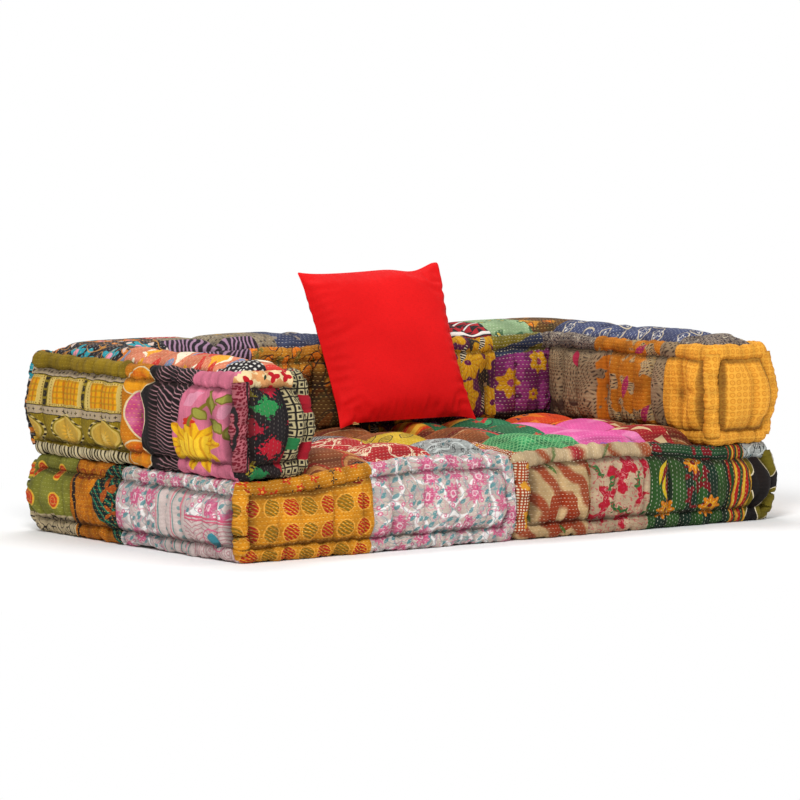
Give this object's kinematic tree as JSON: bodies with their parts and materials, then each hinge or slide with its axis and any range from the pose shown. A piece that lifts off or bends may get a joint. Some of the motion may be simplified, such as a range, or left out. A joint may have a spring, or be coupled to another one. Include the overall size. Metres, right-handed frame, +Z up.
{
  "type": "modular pouf sofa",
  "caption": "Low modular floor sofa: tufted seat blocks side by side, L-shaped backrest blocks stacked on them, hand-rolled quilted edges, and a loose zipped cushion.",
  "frame": {"origin": "middle of the footprint, on the floor", "axes": "+X to the right seen from the front, +Y towards the back of the sofa, +Z up"},
  "size_m": [1.46, 0.88, 0.5788],
  "materials": {
    "patchwork": "kantha-stitched cotton patchwork",
    "rolled_edge": "hand-rolled cotton edge",
    "base_cloth": "plain cotton twill",
    "cotton_filling": "recycled cotton felt",
    "tufting_tape": "cotton tape",
    "cushion_cloth": "plain woven cotton",
    "cushion_filling": "polyester wadding",
    "zip_teeth": "moulded nylon coil",
    "zip_tape": "woven polyester tape",
    "zip_slider": "satin"
  },
  "bodies": {
    "seat_left": {"seat_left_top_panel": "patchwork", "seat_left_base_panel": "base_cloth", "seat_left_filling": "cotton_filling", "seat_left_front_wall": "patchwork", "seat_left_rear_wall": "patchwork", "seat_left_outer_wall": "patchwork", "seat_left_split_wall": "patchwork", "seat_left_rolled_edges": "rolled_edge", "seat_left_tufting_tapes": "tufting_tape"},
    "seat_right": {"seat_right_top_panel": "patchwork", "seat_right_base_panel": "base_cloth", "seat_right_filling": "cotton_filling", "seat_right_front_wall": "patchwork", "seat_right_rear_wall": "patchwork", "seat_right_outer_wall": "patchwork", "seat_right_split_wall": "patchwork", "seat_right_rolled_edges": "rolled_edge", "seat_right_tufting_tapes": "tufting_tape"},
    "backrest_left": {"backrest_left_top_panel": "patchwork", "backrest_left_base_panel": "base_cloth", "backrest_left_filling": "cotton_filling", "backrest_left_front_wall": "patchwork", "backrest_left_rear_wall": "patchwork", "backrest_left_outer_wall": "patchwork", "backrest_left_split_wall": "patchwork", "backrest_left_rolled_edges": "rolled_edge", "backrest_left_tufting_tapes": "tufting_tape", "backrest_left_arm_inner_wall": "patchwork", "backrest_left_back_inner_wall": "patchwork"},
    "backrest_right": {"backrest_right_top_panel": "patchwork", "backrest_right_base_panel": "base_cloth", "backrest_right_filling": "cotton_filling", "backrest_right_front_wall": "patchwork", "backrest_right_rear_wall": "patchwork", "backrest_right_outer_wall": "patchwork", "backrest_right_split_wall": "patchwork", "backrest_right_rolled_edges": "rolled_edge", "backrest_right_tufting_tapes": "tufting_tape", "backrest_right_arm_inner_wall": "patchwork", "backrest_right_back_inner_wall": "patchwork"},
    "cushion": {"cushion_front_panel": "cushion_cloth", "cushion_back_panel": "cushion_cloth", "cushion_pad": "cushion_filling", "cushion_zip_teeth": "zip_teeth", "cushion_zip_tape": "zip_tape"},
    "zip_slider": {"cushion_zip_slider": "zip_slider"}
  },
  "joints": [
    {"name": "seat_right_apart", "type": "slide", "parent": "seat_left", "child": "seat_right", "axis": [1, 0, 0], "range_m": [0, 0.6]},
    {"name": "backrest_left_lift", "type": "slide", "parent": "seat_left", "child": "backrest_left", "axis": [0, 0.5, 0.866], "range_m": [0, 0.3]},
    {"name": "backrest_right_lift", "type": "slide", "parent": "seat_right", "child": "backrest_right", "axis": [0, 0.5, 0.866], "range_m": [0, 0.3]},
    {"name": "cushion_lift", "type": "slide", "parent": "seat_left", "child": "cushion", "axis": [0, -0.5, 0.866], "range_m": [0, 0.25]},
    {"name": "zip_open", "type": "slide", "parent": "cushion", "child": "zip_slider", "axis": [1, 0, 0], "range_m": [0, 0.294]}
  ]
}
